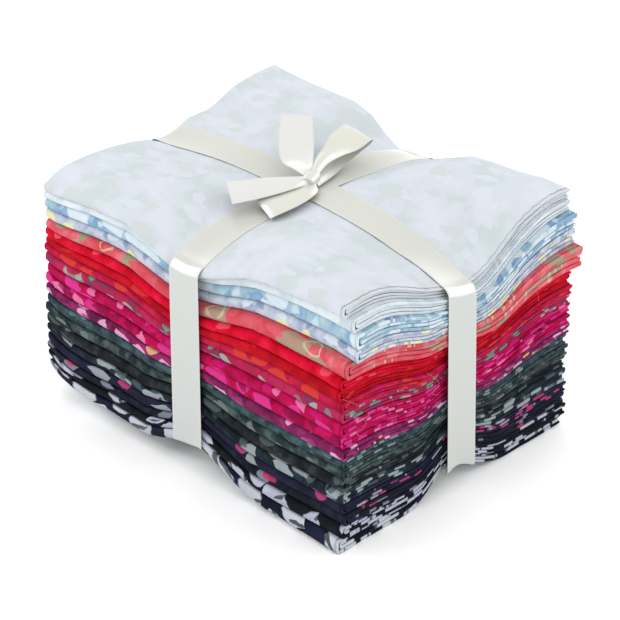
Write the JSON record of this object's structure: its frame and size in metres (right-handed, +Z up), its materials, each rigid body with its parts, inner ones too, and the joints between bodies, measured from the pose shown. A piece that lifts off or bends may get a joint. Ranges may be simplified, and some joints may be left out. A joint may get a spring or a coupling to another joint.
{
  "type": "fat quarter bundle",
  "caption": "Stack of folded printed quilting cottons, pale to red to navy, tied both ways with a cream satin ribbon and a bow.",
  "frame": {"origin": "middle of the bundle's footprint on the surface that it rests on", "axes": "+Z up; +X along the long front side of smooth folds, +Y from the front folds to the back"},
  "size_m": [0.1456, 0.1158, 0.0988],
  "materials": {
    "fabric_01_cotton": "printed batik cotton, plain weave, matt",
    "fabric_02_cotton": "printed batik cotton, plain weave, matt",
    "fabric_03_cotton": "printed batik cotton, plain weave, matt",
    "fabric_04_cotton": "printed batik cotton, plain weave, matt",
    "fabric_05_cotton": "printed batik cotton, plain weave, matt",
    "fabric_06_cotton": "printed batik cotton, plain weave, matt",
    "fabric_07_cotton": "printed batik cotton, plain weave, matt",
    "fabric_08_cotton": "printed batik cotton, plain weave, matt",
    "fabric_09_cotton": "printed batik cotton, plain weave, matt",
    "fabric_10_cotton": "printed batik cotton, plain weave, matt",
    "fabric_11_cotton": "printed batik cotton, plain weave, matt",
    "fabric_12_cotton": "printed batik cotton, plain weave, matt",
    "fabric_13_cotton": "printed batik cotton, plain weave, matt",
    "fabric_14_cotton": "printed batik cotton, plain weave, matt",
    "fabric_15_cotton": "printed batik cotton, plain weave, matt",
    "fabric_16_cotton": "printed batik cotton, plain weave, matt",
    "fabric_17_cotton": "printed batik cotton, plain weave, matt",
    "fabric_18_cotton": "printed batik cotton, plain weave, matt",
    "fabric_19_cotton": "printed batik cotton, plain weave, matt",
    "fabric_20_cotton": "printed batik cotton, plain weave, matt",
    "ribbon_satin": "cream satin ribbon with a soft sheen"
  },
  "bodies": {
    "root": {"fabric_01": "fabric_01_cotton", "fabric_02": "fabric_02_cotton", "fabric_03": "fabric_03_cotton", "fabric_04": "fabric_04_cotton", "fabric_05": "fabric_05_cotton", "fabric_06": "fabric_06_cotton", "fabric_07": "fabric_07_cotton", "fabric_08": "fabric_08_cotton", "fabric_09": "fabric_09_cotton", "fabric_10": "fabric_10_cotton", "fabric_11": "fabric_11_cotton", "fabric_12": "fabric_12_cotton", "fabric_13": "fabric_13_cotton", "fabric_14": "fabric_14_cotton", "fabric_15": "fabric_15_cotton", "fabric_16": "fabric_16_cotton", "fabric_17": "fabric_17_cotton", "fabric_18": "fabric_18_cotton", "fabric_19": "fabric_19_cotton", "fabric_20": "fabric_20_cotton", "ribbon": "ribbon_satin"}
  },
  "joints": []
}
